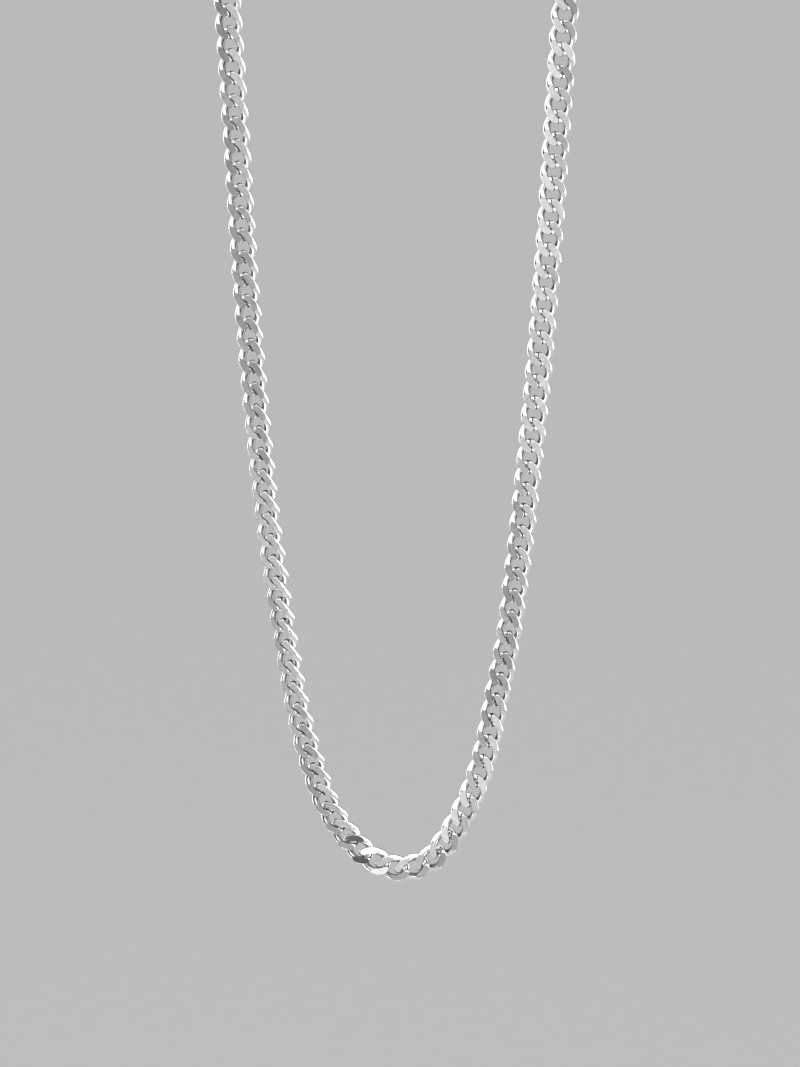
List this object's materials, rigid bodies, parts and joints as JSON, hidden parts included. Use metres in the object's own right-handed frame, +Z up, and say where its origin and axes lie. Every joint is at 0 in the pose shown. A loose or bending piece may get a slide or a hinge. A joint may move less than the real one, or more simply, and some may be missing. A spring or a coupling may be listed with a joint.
{
  "type": "curb chain necklace",
  "caption": "Curb chain necklace of twisted links ground flat front and back, in one loop that a small clasp closes at the nape.",
  "frame": {"origin": "where the middle of the clasp rests on the nape of the neck", "axes": "+Z up, -Y to the front, the way the necklace faces, +X to the wearer's left"},
  "size_m": [0.1041, 0.0798, 0.2142],
  "materials": {
    "chain_silver": "polished silver, its ground flats with a fine grain",
    "clasp_silver": "polished silver"
  },
  "bodies": {
    "root": {"chain_left": "chain_silver", "chain_right": "chain_silver", "clasp": "clasp_silver", "clasp_ring": "clasp_silver", "end_ring": "clasp_silver"}
  },
  "joints": []
}
